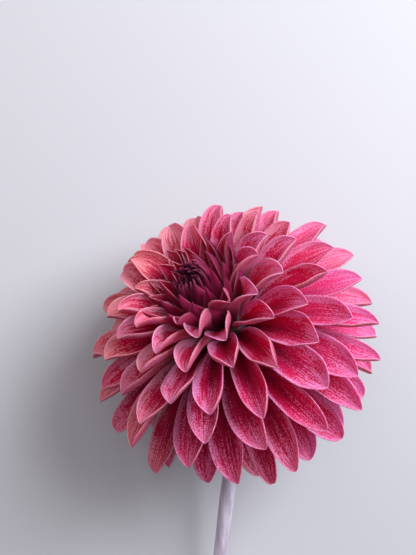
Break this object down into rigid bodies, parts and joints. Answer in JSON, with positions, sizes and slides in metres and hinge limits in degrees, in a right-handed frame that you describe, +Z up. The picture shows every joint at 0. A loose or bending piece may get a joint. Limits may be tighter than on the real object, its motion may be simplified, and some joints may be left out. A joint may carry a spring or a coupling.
{
  "type": "dahlia flower",
  "caption": "Cut, fully double dahlia bloom of layered cupped petals round a tight dark centre, with green calyx and bent slender stem, lying on a surface.",
  "frame": {"origin": "on the surface that the flower lies on, under the middle of the whole part's box", "axes": "+Z up from the surface; +Y along the part from the cut end of the stem towards the bloom; +X to the right of that, seen from above"},
  "size_m": [0.1179, 0.26, 0.0982],
  "materials": {
    "petals": "velvety crimson petal with paler salmon-pink margins",
    "centre": "dark purple-crimson young petal, satin",
    "calyx": "matte green bract, waxy",
    "stem": "smooth lilac-grey to green stem with a slight bloom"
  },
  "bodies": {
    "root": {"open_petals": "petals", "folded_florets": "centre", "calyx": "calyx", "stem": "stem"}
  },
  "joints": []
}
